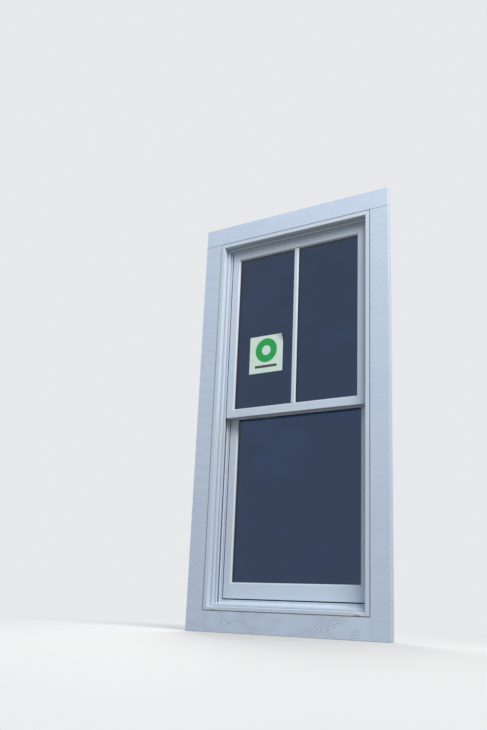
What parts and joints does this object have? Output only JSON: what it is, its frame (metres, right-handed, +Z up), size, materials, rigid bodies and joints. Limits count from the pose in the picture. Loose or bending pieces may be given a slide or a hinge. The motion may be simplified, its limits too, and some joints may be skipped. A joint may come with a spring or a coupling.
{
  "type": "double-hung sash window",
  "caption": "Double-hung sash window: glazed sashes that slide past each other in a nail-fin frame, with flat casing boards, sash lock, tilt latches and spring balances.",
  "frame": {"origin": "centre of the nail fin's four corner slots, on the fin's back plane, which lies on the wall sheathing", "axes": "+Z up, +Y into the building along the frame's depth, +X to the right seen from outdoors"},
  "size_m": [0.973, 0.1363, 1.905],
  "materials": {
    "casing_paint": "white satin paint on wood-grain trim board",
    "white_vinyl": "semi-gloss extruded vinyl",
    "glass": "coated insulating glass, dark from outdoors",
    "spacer_metal": "mill",
    "spring_steel": "bright rolled strip",
    "zinc_steel": "zinc plated",
    "carrier_plastic": "moulded grey",
    "pile": "woven pile",
    "seal_rubber": "matt",
    "label_film": "printed film",
    "lock_enamel": "white enamel on die casting",
    "moulded_white": "moulded white"
  },
  "bodies": {
    "frame": {"casing_head": "casing_paint", "casing_leg_left": "casing_paint", "casing_leg_right": "casing_paint", "casing_apron": "casing_paint", "frame_head": "white_vinyl", "frame_sill": "white_vinyl", "frame_jamb_left": "white_vinyl", "frame_jamb_right": "white_vinyl", "sill_weep_covers": "moulded_white", "balance_anchors": "zinc_steel", "upper_balance_tapes": "spring_steel", "lower_balance_tapes": "spring_steel"},
    "upper_sash": {"upper_stile_left": "white_vinyl", "upper_stile_right": "white_vinyl", "upper_top_rail": "white_vinyl", "upper_meeting_rail": "white_vinyl", "upper_glass_outer": "glass", "upper_glass_inner": "glass", "upper_glass_spacer": "spacer_metal", "upper_bead_left": "white_vinyl", "upper_bead_right": "white_vinyl", "upper_bead_bottom": "white_vinyl", "upper_bead_top": "white_vinyl", "upper_pivot_left": "zinc_steel", "upper_pivot_right": "zinc_steel", "upper_carrier_left": "carrier_plastic", "upper_carrier_right": "carrier_plastic", "upper_coil_left": "spring_steel", "upper_coil_right": "spring_steel", "upper_pile_strips": "pile", "upper_bar_outer": "white_vinyl", "upper_bar_inner": "white_vinyl", "upper_label": "label_film", "upper_keeper": "lock_enamel", "upper_head_bulb": "seal_rubber"},
    "lower_sash": {"lower_stile_left": "white_vinyl", "lower_stile_right": "white_vinyl", "lower_check_rail": "white_vinyl", "lower_bottom_rail": "white_vinyl", "lower_glass_outer": "glass", "lower_glass_inner": "glass", "lower_glass_spacer": "spacer_metal", "lower_bead_left": "white_vinyl", "lower_bead_right": "white_vinyl", "lower_bead_bottom": "white_vinyl", "lower_bead_top": "white_vinyl", "lower_pivot_left": "zinc_steel", "lower_pivot_right": "zinc_steel", "lower_carrier_left": "carrier_plastic", "lower_carrier_right": "carrier_plastic", "lower_coil_left": "spring_steel", "lower_coil_right": "spring_steel", "lower_pile_strips": "pile", "lock_housing": "lock_enamel", "lower_sill_bulb": "seal_rubber"},
    "lock_lever": {"lock_lever": "lock_enamel"},
    "upper_latch_left": {"upper_latch_left": "moulded_white"},
    "upper_latch_right": {"upper_latch_right": "moulded_white"},
    "lower_latch_left": {"lower_latch_left": "moulded_white"},
    "lower_latch_right": {"lower_latch_right": "moulded_white"}
  },
  "joints": [
    {"name": "upper_sash_slide", "type": "slide", "parent": "frame", "child": "upper_sash", "axis": [0, 0, -1], "range_m": [0, 0.765], "deforming": ["upper_balance_tapes"]},
    {"name": "lower_sash_slide", "type": "slide", "parent": "frame", "child": "lower_sash", "axis": [0, 0, 1], "range_m": [0, 0.765], "deforming": ["lower_balance_tapes"]},
    {"name": "sash_lock_turn", "type": "hinge", "parent": "lower_sash", "child": "lock_lever", "pos_m": [0, 0.068, 0.0325], "axis": [0, 0, 1], "range_deg": [0, 180]},
    {"name": "upper_latch_left_slide", "type": "slide", "parent": "upper_sash", "child": "upper_latch_left", "axis": [1, 0, 0], "range_m": [0, 0.007], "stiffness_N_per_m": 250, "springref_m": -0.008},
    {"name": "upper_latch_right_slide", "type": "slide", "parent": "upper_sash", "child": "upper_latch_right", "axis": [-1, 0, 0], "range_m": [0, 0.007], "stiffness_N_per_m": 250, "springref_m": -0.008},
    {"name": "lower_latch_left_slide", "type": "slide", "parent": "lower_sash", "child": "lower_latch_left", "axis": [1, 0, 0], "range_m": [0, 0.007], "stiffness_N_per_m": 250, "springref_m": -0.008},
    {"name": "lower_latch_right_slide", "type": "slide", "parent": "lower_sash", "child": "lower_latch_right", "axis": [-1, 0, 0], "range_m": [0, 0.007], "stiffness_N_per_m": 250, "springref_m": -0.008}
  ]
}
